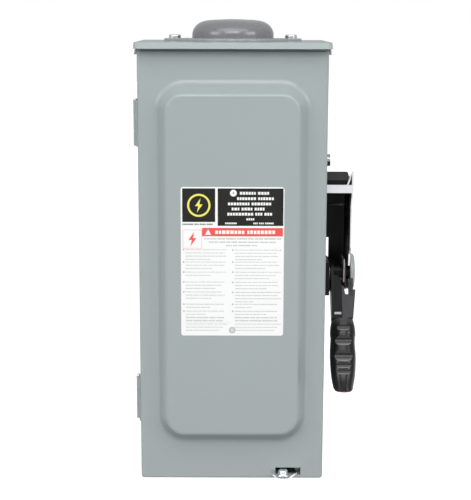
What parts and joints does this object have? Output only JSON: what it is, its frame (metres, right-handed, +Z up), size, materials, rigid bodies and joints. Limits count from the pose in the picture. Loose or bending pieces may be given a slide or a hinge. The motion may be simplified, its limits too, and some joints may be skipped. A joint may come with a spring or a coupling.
{
  "type": "safety disconnect switch",
  "caption": "Outdoor fusible safety switch: rain-hooded steel enclosure with a hinged raised-panel door, side-mounted lever handle, latch tab and domed hub closure cap.",
  "frame": {"origin": "centre of the four wall holes, on the enclosure's back face", "axes": "+Z up along the enclosure's height, -Y out of the wall towards the door, +X to the handle side"},
  "size_m": [0.1964, 0.1432, 0.4042],
  "materials": {
    "enclosure_paint": "satin grey enamel",
    "cap_metal": "glossy neutral grey",
    "gasket_rubber": "matt black",
    "zinc_plate": "bright zinc plating",
    "spring_steel": "oiled steel",
    "bracket_paint": "semi-gloss black enamel",
    "bush_brass": "turned bronze",
    "moulded_black": "moulded thermoset",
    "red_plastic": "gloss red",
    "plated_copper": "tin plated copper",
    "lug_aluminium": "machined",
    "clear_shield": "clear polycarbonate",
    "fuse_paper": "varnished fibre tube",
    "label_face": "printed vinyl"
  },
  "bodies": {
    "enclosure": {"back_box": "enclosure_paint", "top_wall": "enclosure_paint", "bottom_wall": "enclosure_paint", "rain_hood": "enclosure_paint", "closure_gasket": "gasket_rubber", "closure_cap": "cap_metal", "closure_screws": "zinc_plate", "box_hinge_leaves": "enclosure_paint", "hinge_pins": "zinc_plate", "catch_spring": "spring_steel", "handle_bracket": "bracket_paint", "lock_plate": "zinc_plate", "bracket_screws": "zinc_plate", "shaft_bush": "bush_brass", "mounting_pan": "zinc_plate", "pan_screws": "zinc_plate", "switch_base": "moulded_black", "fuse_base": "moulded_black", "base_screws": "zinc_plate", "line_jaws": "plated_copper", "load_jaws": "plated_copper", "line_lugs": "lug_aluminium", "line_lug_screws": "lug_aluminium", "load_lugs": "lug_aluminium", "load_lug_screws": "lug_aluminium", "arc_chutes": "moulded_black", "line_shield": "clear_shield", "upper_fuse_clips": "plated_copper", "lower_fuse_clips": "plated_copper", "fuse_tubes": "fuse_paper", "fuse_ferrules": "plated_copper", "ground_lug": "lug_aluminium", "ground_screw": "zinc_plate", "crossbar_bearings": "moulded_black", "toggle_spring": "spring_steel", "interlock_pin": "zinc_plate"},
    "door": {"door_panel": "enclosure_paint", "door_hinge_leaves": "enclosure_paint", "door_label": "label_face", "interlock_strap": "zinc_plate", "latch_shelf": "enclosure_paint", "latch_rivet": "zinc_plate"},
    "latch": {"latch_lever": "zinc_plate"},
    "handle": {"handle_shaft": "spring_steel", "handle_hub": "enclosure_paint", "outer_arm": "bracket_paint", "inner_arm": "bracket_paint", "grip": "moulded_black", "grip_end_insert": "red_plastic", "shaft_ring": "zinc_plate"},
    "rotor": {"crossbar": "moulded_black", "moving_blades": "plated_copper"},
    "interlock": {"interlock_lever": "zinc_plate"},
    "release": {"release_screw": "zinc_plate"}
  },
  "joints": [
    {"name": "door_hinge", "type": "hinge", "parent": "enclosure", "child": "door", "pos_m": [-0.083, -0.112, 0], "axis": [0, 0, -1], "range_deg": [0, 120], "deforming": ["catch_spring"]},
    {"name": "latch_turn", "type": "hinge", "parent": "door", "child": "latch", "pos_m": [0.0457, -0.126, -0.1882], "axis": [0, 0, 1], "range_deg": [0, 25]},
    {"name": "handle_turn", "type": "hinge", "parent": "enclosure", "child": "handle", "pos_m": [0.1, -0.066, -0.017], "axis": [-1, 0, 0], "range_deg": [0, 85]},
    {"name": "crossbar_turn", "type": "hinge", "parent": "enclosure", "child": "rotor", "pos_m": [0, -0.066, -0.017], "axis": [-1, 0, 0], "range_deg": [0, 65]},
    {"name": "interlock_turn", "type": "hinge", "parent": "enclosure", "child": "interlock", "pos_m": [0.075, -0.06, 0.042], "axis": [1, 0, 0], "range_deg": [0, 24]},
    {"name": "release_turn", "type": "hinge", "parent": "enclosure", "child": "release", "pos_m": [0.084, -0.066, 0.0852], "axis": [1, 0, 0], "range_deg": [0, 90]}
  ],
  "couplings": [
    {"joint": "crossbar_turn", "follows": "handle_turn", "ratio": 0.7646},
    {"joint": "interlock_turn", "follows": "handle_turn", "ratio": 0.2823}
  ]
}
